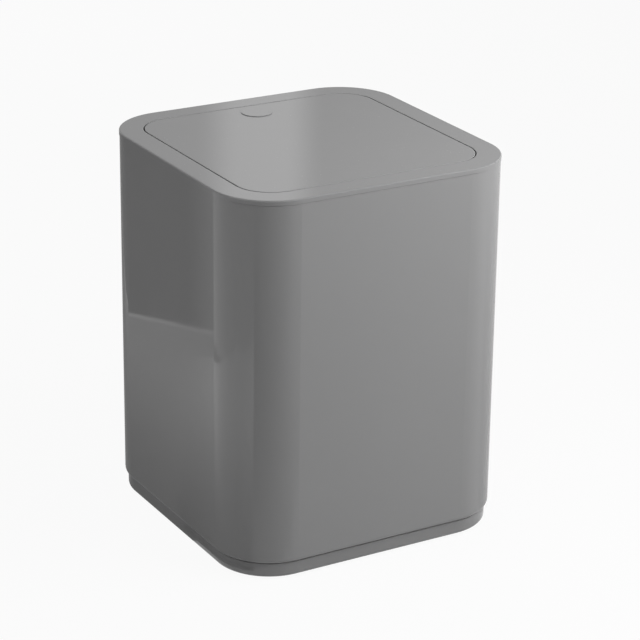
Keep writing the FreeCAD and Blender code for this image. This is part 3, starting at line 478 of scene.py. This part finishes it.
def add_sheet(name, corners, finish):
    """A flat sheet of the stage."""
    mesh = bpy.data.meshes.new(name)
    mesh.from_pydata(corners, [], [range(len(corners))])
    mesh.materials.append(finish)
    sheet = bpy.data.objects.new(name, mesh)
    bpy.context.scene.collection.objects.link(sheet)
    return sheet


def make_floor(half, paint_level, white_share):
    """Pale floor, whitened where it is seen directly, with the bin's shadow. Clear from below."""
    finish = bpy.data.materials.new("floor_pale")
    finish.use_nodes = True
    tree = finish.node_tree
    tree.nodes.remove(tree.nodes["Principled BSDF"])
    pale = (paint_level, paint_level, paint_level, 1.0)
    paint = add_node(tree, "ShaderNodeBsdfDiffuse", {"Color": pale})
    white = add_node(tree, "ShaderNodeEmission", {"Color": WHITE, "Strength": 1.0})
    share = calculate(tree, "MULTIPLY", seen_directly(tree), white_share)
    both = add_node(tree, "ShaderNodeMixShader", {0: share, 1: paint.outputs[0], 2: white.outputs[0]})
    clear = add_node(tree, "ShaderNodeBsdfTransparent")
    from_below = add_node(tree, "ShaderNodeNewGeometry").outputs["Backfacing"]
    sided = add_node(tree, "ShaderNodeMixShader", {0: from_below, 1: both.outputs[0], 2: clear.outputs[0]})
    tree.links.new(sided.outputs[0], tree.nodes["Material Output"].inputs["Surface"])
    corners = [(-half, -half), (half, -half), (half, half), (-half, half)]
    add_sheet("floor", [(*corner, -FLOOR_DROP) for corner in corners], finish)


def facing_bin(place):
    """The turn that points a lamp at the bin."""
    return (Vector(SOFTBOX_AIM) - Vector(place)).to_track_quat("-Z", "Y")


def add_softbox(name, place, width, height, watts, spread, mirrored):
    """A broad lamp with a soft edge to its shadows."""
    lamp = bpy.data.lights.new(name, "AREA")
    lamp.shape = "RECTANGLE"
    lamp.size = width
    lamp.size_y = height
    lamp.energy = watts
    lamp.spread = math.radians(spread)
    box = bpy.data.objects.new(name, lamp)
    box.location = place
    box.rotation_euler = facing_bin(place).to_euler()
    box.visible_camera = False
    box.visible_glossy = mirrored
    bpy.context.scene.collection.objects.link(box)


def add_card(name, corners, start, end, levels, around=None):
    """A card that only the bin's gloss sees, with a glow that eases from a start to an end point.

    Around, where it is given, is a centre, a near and a far distance from it, and the share of the
    glow at each.
    """
    finish = bpy.data.materials.new(name)
    finish.use_nodes = True
    tree = finish.node_tree
    tree.nodes.remove(tree.nodes["Principled BSDF"])
    way = Vector(end) - Vector(start)
    along = add_node(tree, "ShaderNodeVectorMath", {0: own_place(tree), 1: tuple(way / way.length_squared)},
                     operation="DOT_PRODUCT").outputs["Value"]
    first = Vector(start).dot(way) / way.length_squared
    strength = ramp(tree, along, first, first + 1.0, *levels)
    if around:
        centre, near, far, shares = around
        distance = add_node(tree, "ShaderNodeVectorMath", {0: own_place(tree), 1: centre},
                            operation="DISTANCE").outputs["Value"]
        strength = calculate(tree, "MULTIPLY", strength, ramp(tree, distance, near, far, *shares))
    glow = add_node(tree, "ShaderNodeEmission", {"Color": WHITE, "Strength": strength})
    tree.links.new(glow.outputs[0], tree.nodes["Material Output"].inputs["Surface"])
    card = add_sheet(name, corners, finish)
    card.visible_camera = False
    card.visible_diffuse = False
    card.visible_transmission = False
    card.visible_shadow = False


def lay_floor_cards():
    """Lay the floor cards one over the other, the paper's with its second easing."""
    for layer, (name, (outline, start, end, levels)) in enumerate(FLOOR_CARDS.items(), 1):
        lift = layer * CARD_STEP
        around = None
        # The paper's glow is dimmed near the bin's corner: painted shade of the bin on the floor
        if name == "pale_paper":
            around = ((*PAPER_CORNER, lift), PAPER_NEAR, PAPER_FAR, PAPER_SHADE_SHARES)
        corners = [(*point, lift) for point in outline]
        add_card(name, corners, (*start, lift), (*end, lift), levels, around)


def hang_key_panel():
    """Hang a panel of the key's size in its place, weaker than the lamp, for the gloss to show."""
    place, width, height = SOFTBOXES["key_softbox"][:3]
    turn = facing_bin(place)
    middle = Vector(place)
    right = turn @ Vector((width / 2, 0.0, 0.0))
    up = turn @ Vector((0.0, height / 2, 0.0))
    corners = [middle - right - up, middle + right - up, middle + right + up, middle - right + up]
    add_card("key_panel", corners, middle - right, middle + right, KEY_PANEL_LEVELS)


def on_backdrop(distance, height):
    """A point of the backdrop, at a distance to the right of its middle and at a height."""
    return Vector((*BACKDROP_MIDDLE, height)) + distance * Vector((*BACKDROP_WAY, 0.0))


def hang_backdrop():
    """Hang the two halves of the backdrop that the flap's gloss shows."""
    low, high = BACKDROP_HEIGHTS
    for name, (left, right, start, end, levels) in BACKDROP_HALVES.items():
        corners = [on_backdrop(left, low), on_backdrop(right, low),
                   on_backdrop(right, high), on_backdrop(left, high)]
        add_card(name, corners, on_backdrop(start, low), on_backdrop(end, low), levels)


def make_camera():
    """The camera of the main picture."""
    lens = bpy.data.cameras.new("camera")
    lens.lens = CAMERA_LENS_MM
    lens.sensor_width = CAMERA_SENSOR_MM
    right = Vector(CAMERA_RIGHT).normalized()
    up = (Vector(CAMERA_UP) - Vector(CAMERA_UP).dot(right) * right).normalized()
    turn = Matrix((right, up, right.cross(up))).transposed()
    camera = bpy.data.objects.new("camera", lens)
    camera.matrix_world = Matrix.Translation(CAMERA_PLACE) @ turn.to_4x4()
    bpy.context.scene.collection.objects.link(camera)
    bpy.context.scene.camera = camera


bpy.context.scene.view_settings.view_transform = "Standard"
dress_nodes()
make_world(ROOM_LEVEL)
make_floor(FLOOR_HALF, FLOOR_PAINT, FLOOR_WHITE)
for softbox, settings in SOFTBOXES.items():
    add_softbox(softbox, *settings)
lay_floor_cards()
hang_key_panel()
hang_backdrop()
make_camera()
